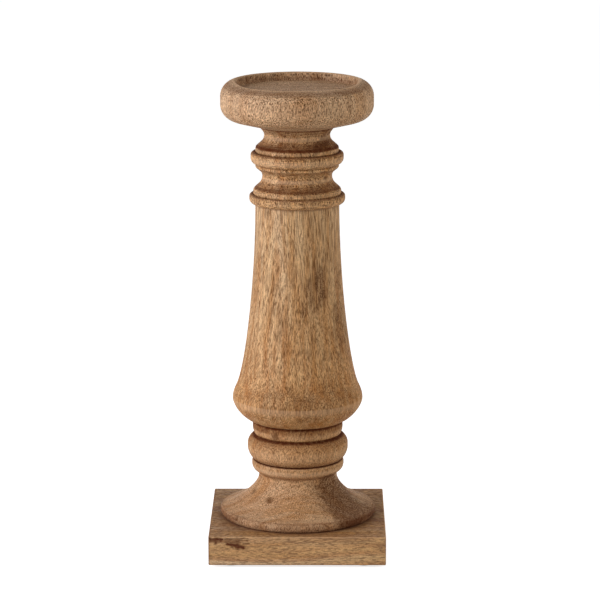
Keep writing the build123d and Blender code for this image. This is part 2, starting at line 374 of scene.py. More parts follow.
def shaft_outline(step):
    """Shaft's outline in three runs (lower hole, shown bulb and flank, upper hole), and its marks of stain,
    wear and painted light.
    """
    nose = (bulb_radius, shaft_bottom + bulb_height)
    shoulder = (shoulder_radius, nose[1] + shoulder_height)
    drop = shoulder_handle_share * shoulder_height
    flank_height = neck_bottom - shoulder[1]
    rise = flank_shoulder_share * flank_height
    seat_reach = bulb_under_seat_shares[0] * (bulb_radius - shaft_seat_radius)
    shown = np.vstack([
        bezier([
            (shaft_seat_radius, shaft_bottom),
            (shaft_seat_radius + seat_reach, shaft_bottom + bulb_under_seat_shares[1] * bulb_height),
            (bulb_radius, nose[1] - bulb_under_nose_share * bulb_height),
            nose,
        ], step),
        bezier([
            nose,
            (bulb_radius, nose[1] + shoulder_nose_share * shoulder_height),
            (shoulder_radius + shoulder_slope_share * drop, shoulder[1] - drop),
            shoulder,
        ], step),
        bezier([
            shoulder,
            (shoulder_radius - shoulder_slope_share * rise, shoulder[1] + rise),
            (shaft_top_radius, neck_bottom - flank_top_share * flank_height),
            (shaft_top_radius, neck_bottom),
        ], step),
    ])
    lower_end = shaft_bottom + foot_dowel_depth
    upper_end = neck_bottom - neck_dowel_depth
    below = [(0, lower_end), (dowel_hole_radius, lower_end), (dowel_hole_radius, shaft_bottom)]
    above = [(dowel_hole_radius, neck_bottom), (dowel_hole_radius, upper_end), (0, upper_end)]
    # Above 0: stain and painted shade at the joints, the lower one under the bulb; below 0: a painted
    # highlight along the bulb's nose
    stain_and_light_marks = (
        ((shaft_seat_radius, shaft_bottom), 1, 2, 1.2),
        (nose, 4, 1, -0.6),
        ((shaft_top_radius, neck_bottom), 1, 1, 0.45),
    )
    return below, shown, above, stain_and_light_marks


def neck_outline(step):
    """Neck's outline in three runs (lower hole, shown rings and hollows, upper hole), and its marks of stain,
    wear and painted light.
    """
    bead_foot = (neck_bottom_radius, neck_bottom)
    bead_top = (bead_top_radius, lower_lip_bottom)
    lower_shoulder = (lower_shoulder_radius, lower_cove_bottom)
    middle_shoulder = (middle_shoulder_radius, middle_lip_bottom)
    torus_foot = (middle_shoulder_radius, neck_torus_bottom)
    torus_top = (neck_torus_top_radius, upper_lip_bottom)
    upper_shoulder = (upper_shoulder_radius, upper_cove_bottom)
    neck_top = (neck_top_radius, dish_bottom)
    shown = np.vstack([
        ring(bead_foot, bead_top, bead_radius, bead_side_shares, step),
        ring(bead_top, lower_shoulder, lower_lip_radius, lower_lip_side_shares, step),
        cove(
            lower_shoulder, middle_shoulder, lower_throat_radius, lower_throat_share, lower_bend_shares, step
        ),
        ring(middle_shoulder, torus_foot, middle_lip_radius, middle_lip_side_shares, step),
        ring(torus_foot, torus_top, neck_torus_radius, neck_torus_side_shares, step),
        ring(torus_top, upper_shoulder, upper_lip_radius, upper_lip_side_shares, step),
        cove(upper_shoulder, neck_top, upper_throat_radius, upper_throat_share, upper_bend_shares, step),
    ])
    lower_end = neck_bottom + neck_dowel_depth
    upper_end = dish_bottom - dish_dowel_depth
    below = [(0, lower_end), (dowel_hole_radius, lower_end), (dowel_hole_radius, neck_bottom)]
    above = [(dowel_hole_radius, dish_bottom), (dowel_hole_radius, upper_end), (0, upper_end)]
    lower_throat = (lower_throat_radius, lower_cove_bottom + 0.45 * lower_cove_height)
    upper_throat = (upper_throat_radius, upper_cove_bottom + 0.5 * upper_cove_height)
    torus_face = (neck_torus_radius, neck_torus_bottom + 0.5 * neck_torus_height)
    # Above 0: stain and painted shade in the grooves, on the coves' flares and under the dish; below 0:
    # rubbed wear and painted highlights on the rings and in the throats
    stain_and_light_marks = (
        (bead_foot, 1, 0.9, 0.45),
        ((bead_radius, neck_bottom + 0.5 * bead_height), 1.2, 1.5, -0.25),
        (bead_top, 3.5, 0.9, 0.8),
        ((lower_lip_radius, lower_lip_bottom + 0.5 * lower_lip_height), 1.2, 1.4, -0.4),
        (lower_shoulder, 0.7, 2.6, 0.8),
        (lower_shoulder, 1, 6, 0.5),
        (lower_throat, 1.2, 1.6, -0.8),
        (middle_shoulder, 3.5, 0.4, 0.35),
        (torus_foot, 0.5, 0.7, 0.4),
        (torus_face, 2.4, 2, -0.7),
        (torus_top, 4, 0.9, 0.9),
        ((upper_lip_radius, upper_lip_bottom + 0.5 * upper_lip_height), 1, 1.2, -0.4),
        (upper_shoulder, 0.7, 2.6, 1.1),
        (upper_shoulder, 1, 7.5, 0.7),
        (upper_throat, 1.4, 1.8, -0.9),
        (neck_top, 1.2, 1, 1),
        (neck_top, 5.5, 1, 0.4),
    )
    return below, shown, above, stain_and_light_marks


def dish_outline(step):
    """Dish's outline in three runs (dowel hole, shown bowl to recess, nothing above), and its marks of stain,
    wear and painted light.
    """
    top = dish_bottom + dish_height
    under_edge = (dish_under_radius, dish_bottom + dish_under_rise)
    side_low = (dish_radius, dish_bottom + dish_side_bottom)
    side_high = (dish_radius, dish_bottom + dish_side_top)
    rim_crest = (recess_radius + recess_edge_width, top)
    wall_top = (recess_radius, top - recess_edge_drop)
    recess_floor = top - recess_depth
    wall_bottom = (recess_radius, recess_floor + recess_floor_round)
    floor_edge = (recess_radius - recess_floor_round, recess_floor)
    shown = np.vstack([
        straight((dish_seat_radius, dish_bottom), under_edge, step),
        tangent_arc(side_low, under_edge, (0, -1), step)[::-1],
        straight(side_low, side_high, step),
        tangent_arc(side_high, rim_crest, (0, 1), step),
        tangent_arc(wall_top, rim_crest, (0, 1), step)[::-1],
        straight(wall_top, wall_bottom, step),
        tangent_arc(wall_bottom, floor_edge, (0, -1), step),
        straight(floor_edge, (0, recess_floor), 2 * step),
    ])
    hole_end = dish_bottom + dish_dowel_depth
    below = [(0, hole_end), (dowel_hole_radius, hole_end), (dowel_hole_radius, dish_bottom)]
    # Above 0: stain and painted shade at the seat, under the bowl, on the rim's roundover and in the recess;
    # below 0: painted highlights on the side and along the rim's inner arris
    stain_and_light_marks = (
        ((dish_seat_radius, dish_bottom), 1, 1.3, 1.1),
        (under_edge, 1.2, 0.8, 0.5),
        ((dish_radius, dish_bottom + 0.55 * dish_height), 6, 4, -0.4),
        ((0.5 * (dish_radius + rim_crest[0]), top - 3), 3, 3, 0.38),
        (rim_crest, 0.9, 1, -1.5),
        (wall_bottom, 1.6, 1.2, 0.4),
        ((recess_radius / 2, recess_floor), 22, 22, 0.12),
    )
    return below, shown, [], stain_and_light_marks


def bend_along(outline, spread):
    """Bend of an outline, positive on crests: its change of heading, spread along it by a bell curve."""
    steps = np.diff(outline, axis=0)
    place = np.concatenate([[0], np.cumsum(np.hypot(*steps.T))])
    heading = np.arctan2(steps[:, 1], steps[:, 0])
    change = (np.diff(heading) + pi) % (2 * pi) - pi
    gap = place[:, None] - place[None, 1:-1]
    bell = np.exp(-0.5 * (gap / spread) ** 2) / (spread * np.sqrt(2 * pi))
    return bell @ change


def unevenness(angle, height):
    """Slow waves round the axis that drift with height, between -1 and 1: a sum of three cosines."""
    return (
        0.5 * np.cos(2 * angle + height / 47)
        + 0.3 * np.cos(3 * angle - height / 29 + 1.3)
        + 0.2 * np.cos(5 * angle + height / 13 + 2.1)
    )


def window(value, low, high, soft_low, soft_high):
    """Soft window: 0 outside low to high, 1 inside, with its own softness at each end."""
    return smooth(low, low + soft_low, value) * (1 - smooth(high - soft_high, high, value))


# Heartwood on the front: its strength, then a soft window across and one up, in millimetres
HEART_PATCHES = (
    (0.9, (7, 30, 7, 10), (275, 290, 6, 6)),
    (0.5, (-34, 36, 12, 8), (275, 288, 5, 6)),
    (0.5, (-22, 37, 12, 8), (246, 262, 6, 6)),
    (0.75, (6, 24, 8, 8), (156, 220, 26, 26)),
    (0.6, (-2, 15, 7, 6), (154, 206, 20, 20)),
    (0.45, (-28, -15, 5, 5), (180, 222, 14, 14)),
    (0.45, (-21, -9, 5, 5), (158, 196, 14, 14)),
    (0.62, (20, 40, 8, 4), (112, 226, 40, 36)),
    (0.62, (-14, 20, 12, 12), (98, 126, 10, 12)),
    (0.55, (12, 27, 8, 8), (104, 128, 8, 9)),
    (0.5, (-36, 44, 10, 10), (94, 124, 6, 9)),
    (0.75, (20, 70, 8, 8), (20, 44, 3, 8)),
)


def heart_patches(x, y, z):
    """Heartwood on the front: soft windows in x and z, pushed about by slow waves to break their edges."""
    sway = 1.5 * np.sin(z / 6.1) + 1.1 * np.sin(z / 2.7 + 1) + 0.6 * np.sin(z / 1.3 + 2)
    climb = 2.4 * np.sin(x / 4.3) + 1.6 * np.sin(x / 2.1 + 1) + 0.8 * np.sin(x / 1.1 + 2)
    across, up = x + sway, z + climb
    patches = [
        strength * window(across, *sides) * window(up, *levels) for strength, sides, levels in HEART_PATCHES
    ]
    # The patch on the foot's flare leans to the right as it goes down
    lean = 0.62 * np.maximum(53 - z, 0)
    patches.append(window(across - lean, -8, 38, 28, 16) * window(up, 22, 56, 8, 8))
    return np.max(patches, axis=0) * smooth(24, -20, y + 4 * np.sin(z / 9))


def stain_and_shade_patches(x, y, z):
    """Darkening on one side of a ring: the foot's rim, darker at its left and right (stain and painted
    shade), painted shade under the bulb on its top collar, and painted shadow at the recess's left end.
    """
    out = np.hypot(x, y)
    rim = smooth(50.5, 51.5, out) * window(z, plinth_top - 1, plinth_top + foot_rim_height - 0.3, 1, 1)
    sides = np.maximum(smooth(-34, -48, x), smooth(24, 36, x))
    collar = window(x, -36, -14, 4, 8) * window(z, shaft_bottom - 6, shaft_bottom + 1, 2, 0.5)
    recess_floor = dish_bottom + dish_height - recess_depth
    inside = smooth(recess_floor - 1, recess_floor, z) * (out < recess_radius + 0.1)
    recess = window(x, -46, -28, 2, 8) * inside
    patches = (0.8 * rim * sides, 0.25 * rim, 0.8 * collar * (y < 0), 0.4 * recess)
    return np.max(patches, axis=0)


def put_piece(name, mesh, node, material):
    """Finish a new piece: smooth faces, sharp arrises, its material, and its place on the frame."""
    mesh.polygons.foreach_set("use_smooth", np.ones(len(mesh.polygons), bool))
    mesh.set_sharp_from_angle(angle=SHARP_ANGLE)
    mesh.materials.append(material)
    piece = bpy.data.objects.new(name, mesh)
    bpy.context.scene.collection.objects.link(piece)
    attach(piece, "root")
    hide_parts(node)


def add_values(mesh, name, values):
    """Store one number per vertex for the material to read, with 0 at the two poles."""
    values = np.append(values, [0, 0]).astype(np.float32)
    mesh.attributes.new(name, "FLOAT", "POINT").data.foreach_set("value", values)


def grid_mesh(name, rings, first_pole, last_pole):
    """Closed mesh of rings, each joined to the next and round to its own start, and a pole at each end."""
    rows, columns = rings.shape[:2]
    points = np.vstack([rings.reshape(-1, 3), [first_pole, last_pole]]) * MM
    across = np.arange(columns)
    beside = np.roll(across, -1)
    starts = np.arange(rows - 1)[:, None] * columns
    quads = np.stack([
        starts + across, starts + beside, starts + columns + beside, starts + columns + across
    ], axis=-1).reshape(-1, 4)
    low = np.stack([np.full(columns, rows * columns), beside, across], axis=-1)
    last = (rows - 1) * columns
    high = np.stack([last + across, last + beside, np.full(columns, rows * columns + 1)], axis=-1)
    mesh = bpy.data.meshes.new(name)
    mesh.from_pydata(points, [], quads.tolist() + low.tolist() + high.tolist())
    mesh.update()
    return mesh


def turned_mesh(name, runs, shape):
    """Outline spun round the axis: radius times the cosine and sine of the angle, plus a slow unevenness.

    The dish's rim is worn down at the front, by a soft step in height times one in the angle's sine.
    """
    below, shown, above, stain_and_light_marks = runs
    outline = np.vstack([part for part in (below, shown, above) if len(part)])
    hidden = np.ones(len(outline), bool)
    hidden[len(below):len(below) + len(shown)] = False
    keep = np.concatenate([[True], np.hypot(*np.diff(outline, axis=0).T) > 1e-6])
    outline, hidden = outline[keep], hidden[keep]
    place = np.concatenate([[0], np.cumsum(np.hypot(*np.diff(outline, axis=0).T))])
    from_joint = np.abs(place[:, None] - place[None, hidden]).min(axis=1)
    stain_and_shade = np.zeros(len(outline))
    # Rubbed arrises: where the outline bends outwards, in radians per millimetre
    least_bend, full_bend, bend_spread = 0.3, 0.9, 0.6
    crest = smooth(least_bend, full_bend, bend_along(outline, bend_spread)) * ~hidden
    # Marks above 0 add stain and painted shade; below 0 they add rubbed wear and painted highlights to the
    # crest
    for point, reach_below, reach_above, strength in stain_and_light_marks:
        along = place - place[np.argmin(np.hypot(*(outline - point).T))]
        share = np.exp(-(along / np.where(along < 0, reach_below, reach_above)) ** 4)
        stain_and_shade = np.maximum(stain_and_shade, strength * share)
        crest = np.maximum(crest, -strength * share)
    crest = crest * (1 - np.minimum(stain_and_shade, 1))
    body = slice(1, -1)
    angle = np.linspace(0, 2 * pi, shape.columns, endpoint=False)
    radius, height = outline[body, 0][:, None], outline[body, 1][:, None]
    # Joints and the axis stay true: the unevenness grows over these distances from them
    joint_reach, axis_reach = 3, 12
    free = smooth(0, joint_reach, from_joint)[body][:, None] * smooth(0, axis_reach, radius)
    radius = radius + shape.out_of_round / MM * free * unevenness(angle, height) / 2
    rim_top = dish_bottom + dish_height
    worn = smooth(rim_top - recess_depth, rim_top, height) * smooth(0, -0.7, np.sin(angle))
    height = height - shape.rim_wear / MM * worn
    rings = np.stack([radius * np.cos(angle), radius * np.sin(angle), height], axis=-1)
    mesh = grid_mesh(name, rings, (0, 0, outline[0, 1]), (0, 0, outline[-1, 1]))
    points = rings.reshape(-1, 3).T
    # Painted shade on one side of some rings, with some stain on the foot's rim
    patches = stain_and_shade_patches(*points)
    stain_and_shade = np.maximum(np.repeat(stain_and_shade[body], shape.columns), patches)
    crest = np.repeat(crest[body], shape.columns) * (1 - patches)
    add_values(mesh, "stain_and_shade", stain_and_shade)
    add_values(mesh, "crest", crest)
    add_values(mesh, "heartwood_and_shade", heart_patches(*points))
    return mesh


def square_path(per_side, per_corner):
    """Path round a square of half side 1, from its front left corner, and the way out at each point.

    It runs straight along each side, and stands still at a corner while the way out turns by 90 degrees.
    """
    along = np.linspace(-1, 1, per_side)
    turn = np.linspace(0, pi / 2, per_corner + 2)[1:-1]
    base = np.concatenate([along, np.ones(per_corner)]) - 1j
    out = np.exp(1j * np.concatenate([np.full(per_side, -pi / 2), turn - pi / 2]))
    quarter = np.exp(0.5j * pi * np.arange(4))[:, None]
    return (quarter * base).ravel(), (quarter * out).ravel()


def line_share(x, z, start, end, half_width):
    """Torn line at x and z: 1 on the line from start to end, fading to 0 past its ragged half width.

    The half width passes evenly from its first size, at the start, to its second, at the end.
    """
    run, rise = end[0] - start[0], end[1] - start[1]
    share = np.clip(((x - start[0]) * run + (z - start[1]) * rise) / (run ** 2 + rise ** 2), 0, 1)
    away = np.hypot(x - start[0] - share * run, z - start[1] - share * rise)
    width = half_width[0] + (half_width[1] - half_width[0]) * share
    ragged = width * (1 + 0.2 * np.sin(0.9 * x) + 0.15 * np.sin(1.7 * x + 1))
    return 1 - smooth(0.1 * ragged, 1.4 * ragged, away)


# Split on the plinth's front: strength, start, end and the two half widths of each torn line, in millimetres
SPLIT_LINES = (
    (1.1, (-59.3, 20.4), (-50.4, 20.2), (1.2, 1.3)),
    (0.85, (-59, 19.4), (-50.6, 19), (1.2, 1.3)),
    (0.95, (-54.8, 19.4), (-54.8, 17.6), (2.2, 1.1)),
    (0.62, (-51, 19.2), (-39, 17.4), (1.6, 2.8)),
    (0.85, (-49, 20.4), (-39.5, 20.5), (0.5, 0.5)),
    (0.7, (-46, 18.5), (-39.5, 18.9), (0.5, 0.5)),
    (1.2, (-47.4, 16.9), (-41.6, 15.9), (0.8, 2)),
    (1.1, (-41.6, 15.9), (-36.2, 14.6), (2.2, 2)),
    (0.7, (-38.6, 20.9), (-33.2, 20.8), (0.5, 0.4)),
    (0.8, (-39.5, 19.5), (-33.2, 19.4), (0.6, 0.5)),
    (0.7, (-36.5, 17.2), (-32, 17.2), (0.5, 0.4)),
)


def split_share(x, z):
    """Split on the plinth's front: a torn corner, a brown wedge, the dark gash and thin lines beside it."""
    return np.max([strength * line_share(x, z, *line) for strength, *line in SPLIT_LINES], axis=0)


def plinth_mesh(name, shape):
    """Board as rings: in from the bottom's middle, out, up the sides, in over the top and down the mortise.

    A ring's points are the square path times a half side, plus the way out times the edge's round. Over the
    top the rings pass from the square to the mortise's circle. The split is pushed into the front.
    """
    side_points, corner_points = 220, 5
    bottom_rows, edge_rows, side_rows, top_rows = 9, 5, 44, 40
    base, out = square_path(side_points, corner_points)
    edge = plinth_edge_round
    half = plinth_side / 2 - edge
    circle = mortise_radius * base / np.abs(base)
    mortise_bottom = plinth_top - mortise_depth
    turn = np.linspace(0, pi / 2, edge_rows)[:, None]
    sides = np.linspace(plinth_bottom + edge, plinth_top - edge, side_rows)[1:-1, None]
    bottom_share = np.linspace(0, 1, bottom_rows)[1:-1, None]
    top_share = np.linspace(0, 1, top_rows)[1:-1, None]
    flat = np.vstack([
        bottom_share * half * base,
        half * base + edge * np.sin(turn) * out,
        half * base + edge * out + 0 * sides,
        half * base + edge * np.cos(turn) * out,
        (1 - top_share) * half * base + top_share * circle,
        circle,
        circle,
    ])
    height = np.vstack([
        0 * bottom_share + plinth_bottom,
        plinth_bottom + edge * (1 - np.cos(turn)),
        sides,
        plinth_top - edge * (1 - np.sin(turn)),
        0 * top_share + plinth_top,
        [[plinth_top]],
        [[mortise_bottom]],
    ]) + 0 * flat.real
    on_front = smooth(0.98, 1, -out.imag) * smooth(half + 0.2 * edge, half + edge, -flat.imag)
    split = split_share(flat.real, height) * on_front
    depth = shape.split_depth / MM * split
    rings = np.stack([flat.real, flat.imag + depth, height], axis=-1)
    mesh = grid_mesh(name, rings, (0, 0, plinth_bottom), (0, 0, mortise_bottom))
    # Darkening: in the split, torn wood and painted shade in the crack; a painted contact shadow round the
    # foot, where it fades over two distances; and painted shade on the left face
    near_fade, far_fade = 3.6, 9
    past = np.maximum(np.abs(flat) - foot_seat_radius, 0)
    contact_shadow = 0.8 * np.exp(-past / near_fade) + 0.2 * np.exp(-past / far_fade)
    contact_shadow = contact_shadow * (height > plinth_top - 0.01)
    left_face_shade = 0.75 * smooth(half - 0.4, half + 0.7 * edge, -flat.real)
    add_values(mesh, "stain_and_shade", np.max([1.1 * split, 0.9 * contact_shadow, left_face_shade], axis=0))
    # Paler top edges, rubbed wear and a painted highlight, most at the front and its left corner, and painted
    # light a little over the whole front
    edges = np.exp(-((height - plinth_top + 0.4) / 0.6) ** 2)
    edges = edges * smooth(half, half + edge, np.maximum(np.abs(flat.real), np.abs(flat.imag)))
    worn = 0.4 + (0.45 + 0.15 * smooth(-44, -52, flat.real)) * (flat.imag < 0)
    add_values(mesh, "crest", np.maximum(edges * worn, 0.3 * on_front) * (1 - split))
    # Heartwood: a knot near the front's right end, and painted shade that darkens the top face
    knot = window(flat.real, 48, 64, 8, 1) * window(height, 9, 20, 4, 4) * (flat.imag < -50)
    top = 0.53 * smooth(plinth_top - 0.2, plinth_top, height)
    add_values(mesh, "heartwood_and_shade", np.maximum(0.6 * knot, top))
    return mesh


def screw_cutters():
    """Screw holes as four closed cutters: a cone below, then a straight hole up into the foot."""
    below, columns = 1, 32
    cone_top = plinth_bottom + countersink_radius - screw_hole_radius
    hole_top = plinth_top + screw_pilot_depth
    angle = np.linspace(0, 2 * pi, columns, endpoint=False)
    radius = np.array([countersink_radius + below, screw_hole_radius, screw_hole_radius])[:, None]
    height = np.array([plinth_bottom - below, cone_top, hole_top])[:, None]
    hole = np.stack([radius * np.cos(angle), radius * np.sin(angle), height + 0 * angle], axis=-1)
    cutters = []
    for place in range(4):
        turn = (2 * place + 1) * pi / 4
        centre = screw_circle_radius * np.array([np.cos(turn), np.sin(turn), 0])
        ends = [centre + (0, 0, height[0, 0]), centre + (0, 0, height[-1, 0])]
        mesh = grid_mesh("screw_hole", hole + centre, *ends)
        cutters.append(bpy.data.objects.new("screw_hole", mesh))
    return cutters


def drill(mesh):
    """Cut the four screw holes out of a mesh, and give back the drilled mesh."""
    blank = bpy.data.objects.new("blank", mesh)
    cutters = screw_cutters()
    for piece in (blank, *cutters):
        bpy.context.scene.collection.objects.link(piece)
    for cutter in cutters:
        cut = blank.modifiers.new("Screw hole", "BOOLEAN")
        cut.object = cutter
        cut.operation = "DIFFERENCE"
        cut.solver = "EXACT"
    drilled = bpy.data.meshes.new_from_object(blank.evaluated_get(bpy.context.evaluated_depsgraph_get()))
    drilled.name = mesh.name
    for piece in (blank, *cutters):
        used = piece.data
        bpy.data.objects.remove(piece)
        bpy.data.meshes.remove(used)
    return drilled


# Settings that many nodes share
BLEND = {"data_type": "RGBA"}
SOFT = {"interpolation_type": "SMOOTHSTEP"}
TIMES = {"operation": "MULTIPLY"}
TIMES_ADD = {"operation": "MULTIPLY_ADD"}
SCALED = {"operation": "SCALE"}


def add_node(tree, kind, settings, inputs):
    """Add a node, set its settings, and give each input a value or the output that feeds it."""
    made = tree.nodes.new("ShaderNode" + kind)
    for name, value in settings.items():
        setattr(made, name, value)
    for key, value in inputs.items():
        if isinstance(value, bpy.types.NodeSocket):
            tree.links.new(value, made.inputs[key])
        else:
            made.inputs[key].default_value = value
    return made


def new_surface(name):
    """Material with an empty tree, and its output node."""
    material = bpy.data.materials.new(name)
    material.use_nodes = True
    material.node_tree.nodes.clear()
    return material, material.node_tree, material.node_tree.nodes.new("ShaderNodeOutputMaterial")


def mango_wood(
    name, wood, grain_turn=(0, 0, 0), pith=(30, 160), ring_share=1.0, layer_spread=1.0, streak_share=1.0,
    band_share=1.0, gold_share=0.5, along=2, reach=(0, 1), low_hue=(1, 1, 1), high_hue=(1, 1, 1),
    blotch=(2.5, 3), pore_shares=(1.0, 1.0), pore_depth=0.68, fibre_share=0.3, speckle_share=0.12,
    lathe_share=0.0, gloss=0.18, marks=(),
):
    """Mango wood with an oiled satin face: streaks, growth rings, pores and marks in Object space.

    To the eye it is a warm mid brown with soft light and dark streaks along the grain, close short dark
    pores, dark heart patches, stain and painted shade in the grooves and hollows, and paler rubbed arrises
    with painted highlights.

    grain_turn turns the grain away from Z, and pith is the middle of the growth rings. The shares weaken or
    strengthen each pattern in this blank. Its hue passes from low_hue to high_hue over reach, on the axis
    that along counts. blotch is the width and length of the marks that break up the heartwood, and marks
    are knots, each with its centre, size and strength.
    """
    material, tree, output = new_surface(name)
    coords = add_node(tree, "TexCoord", {}, {})
    place = add_node(tree, "VectorMath", SCALED, {0: coords.outputs["Object"], "Scale": 1 / MM})
    grain = add_node(tree, "Mapping", {}, {"Vector": place.outputs[0], "Rotation": grain_turn})
    # Fibres wander by a few millimetres over a hand's breadth
    wander_width, wander_length, wander_reach = 60, 150, 16
    slow = add_node(tree, "VectorMath", TIMES, {
        0: grain.outputs[0], 1: (1 / wander_width, 1 / wander_width, 1 / wander_length),
    })
    wander = add_node(tree, "TexNoise", {}, {"Vector": slow.outputs[0], "Scale": 1.0, "Detail": 2.0})
    drift = add_node(tree, "VectorMath", TIMES_ADD, {
        0: wander.outputs["Color"], 1: (wander_reach, wander_reach, 0), 2: grain.outputs[0],
    })
    # Layers that spread sideways, so that a sloping face shows them as level streaks
    layers = add_node(tree, "VectorMath", TIMES, {0: drift.outputs[0], 1: (1 / layer_spread, 1, 1)})
    # Colour streaks, long along the grain
    width = wood.streak_width / MM
    long = add_node(tree, "VectorMath", TIMES, {
        0: layers.outputs[0], 1: (1 / width, 1 / width, 1 / (24 * width)),
    })
    streak = add_node(tree, "TexNoise", {}, {
        "Vector": long.outputs[0], "Scale": 1.0, "Detail": 5.0, "Roughness": 0.62,
    })
    # Paler towards the top end
    height = add_node(tree, "SeparateXYZ", {}, {0: place.outputs[0]})
    pale_end = add_node(tree, "MapRange", {}, {0: height.outputs[2], 1: 60, 2: 320, 3: -0.03, 4: 0.05})
    tone = add_node(tree, "Math", {"operation": "ADD"}, {0: streak.outputs[0], 1: pale_end.outputs[0]})
    light = add_node(tree, "MapRange", SOFT, {
        0: tone.outputs[0], 1: 0.28, 2: 0.66, 3: 0.55 - 0.55 * streak_share, 4: 0.55 + 0.45 * streak_share,
    })
    colour = add_node(tree, "Mix", BLEND, {0: light.outputs[0], 6: (*wood.brown, 1), 7: (*wood.pale, 1)})
    # Broad golden bands, 17 mm wide and 300 mm long
    band = add_node(tree, "VectorMath", TIMES, {0: layers.outputs[0], 1: (1 / 17, 1 / 17, 1 / 300)})
    gold = add_node(tree, "TexNoise", {}, {"Vector": band.outputs[0], "Scale": 1.0, "Detail": 1.0})
    warm = add_node(tree, "MapRange", SOFT, {
        0: gold.outputs[0], 1: 0.4, 2: 0.62, 4: band_share * gold_share,
    })
    colour = add_node(tree, "Mix", BLEND, {
        0: warm.outputs[0], 6: colour.outputs[2], 7: (*wood.golden, 1),
    })
    # Smoky streaks, 4 mm wide and 90 mm long
    veil = add_node(tree, "VectorMath", TIMES_ADD, {
        0: layers.outputs[0], 1: (1 / 4, 1 / 4, 1 / 90), 2: (7, 3, 0),
    })
    smoke = add_node(tree, "TexNoise", {}, {
        "Vector": veil.outputs[0], "Scale": 1.0, "Detail": 3.0, "Roughness": 0.6,
    })
    haze = add_node(tree, "MapRange", SOFT, {0: smoke.outputs[0], 1: 0.52, 2: 0.7, 4: 0.65 * band_share})
    colour = add_node(tree, "Mix", BLEND, {0: haze.outputs[0], 6: colour.outputs[2], 7: (*wood.smoke, 1)})
    # The hue changes from one end of the blank to the other
    climb = add_node(tree, "MapRange", {}, {0: height.outputs[along], 1: reach[0], 2: reach[1]})
    hue = add_node(tree, "Mix", {"data_type": "VECTOR"}, {0: climb.outputs[0], 4: low_hue, 5: high_hue})
    colour = add_node(tree, "VectorMath", TIMES, {0: colour.outputs[2], 1: hue.outputs[1]})
    # Growth rings round a pith outside the blank, each with a darker late edge
    flat = add_node(tree, "VectorMath", TIMES_ADD, {
        0: drift.outputs[0], 1: (1, 1, 0), 2: (-pith[0], -pith[1], 0),
    })
    age = add_node(tree, "VectorMath", {"operation": "LENGTH"}, {0: flat.outputs[0]})
    spacing = ring_share * wood.ring_spacing / MM
    year = add_node(tree, "Math", {"operation": "DIVIDE"}, {0: age.outputs["Value"], 1: spacing})
    phase = add_node(tree, "Math", {"operation": "FRACT"}, {0: year.outputs[0]})
    late = add_node(tree, "MapRange", SOFT, {0: phase.outputs[0], 1: 0.5, 2: 1.0, 4: 0.5 * band_share})
    colour = add_node(tree, "Mix", BLEND, {0: late.outputs[0], 6: colour.outputs[0], 7: (*wood.brown, 1)})
    # Heartwood, and the painted shade on the plinth's top, its edge broken up by blotches
    patch = add_node(tree, "VectorMath", TIMES, {
        0: drift.outputs[0], 1: (1 / blotch[0], 1 / blotch[0], 1 / blotch[1]),
    })
    torn = add_node(tree, "TexNoise", {}, {
        "Vector": patch.outputs[0], "Scale": 1.0, "Detail": 6.0, "Roughness": 0.7,
    })
    heartwood_and_shade = add_node(tree, "Attribute", {"attribute_name": "heartwood_and_shade"}, {})
    edge = add_node(tree, "Math", TIMES_ADD, {0: torn.outputs[0], 1: 2.0, 2: -1.0})
    edge = add_node(tree, "Math", {"operation": "ADD"}, {0: heartwood_and_shade.outputs["Fac"], 1: edge.outputs[0]})
    dark = add_node(tree, "MapRange", SOFT, {0: edge.outputs[0], 1: 0.2, 2: 0.9, 4: 0.82})
    full = add_node(tree, "MapRange", {}, {0: heartwood_and_shade.outputs["Fac"], 2: 0.7})
    dark = add_node(tree, "Math", TIMES, {0: dark.outputs[0], 1: full.outputs[0]})
    # Speckle, 1 mm across, drawn coarse so that it shows: strong in the heartwood, weak elsewhere
    speckle_size = 1.0
    grit = add_node(tree, "VectorMath", SCALED, {0: place.outputs[0], "Scale": 1 / speckle_size})
    speckle = add_node(tree, "TexNoise", {}, {
        "Vector": grit.outputs[0], "Scale": 1.0, "Detail": 2.0, "Roughness": 0.7,
    })
    broken = add_node(tree, "MapRange", {}, {0: speckle.outputs[0], 1: 0.4, 2: 0.6, 3: 0.3, 4: 1.3})
    dark = add_node(tree, "Math", {"operation": "MULTIPLY", "use_clamp": True}, {
        0: dark.outputs[0], 1: broken.outputs[0],
    })
    colour = add_node(tree, "Mix", BLEND, {0: dark.outputs[0], 6: colour.outputs[2], 7: (*wood.heartwood_and_shade, 1)})
    # Fine fibres, 0.8 mm wide and 26 mm long, drawn a little coarse so that they show
    thread = add_node(tree, "VectorMath", TIMES, {0: drift.outputs[0], 1: (1 / 0.8, 1 / 0.8, 1 / 26)})
    fibre = add_node(tree, "TexNoise", {}, {"Vector": thread.outputs[0], "Scale": 1.0, "Detail": 4.0})
    shade = add_node(tree, "MapRange", {}, {
        0: fibre.outputs[0], 1: 0.25, 2: 0.75, 3: 1 - fibre_share, 4: 1 + fibre_share,
    })
    dust = add_node(tree, "MapRange", {}, {
        0: speckle.outputs[0], 1: 0.3, 2: 0.7, 3: 1 - speckle_share, 4: 1 + speckle_share,
    })
    shade = add_node(tree, "Math", TIMES, {0: shade.outputs[0], 1: dust.outputs[0]})
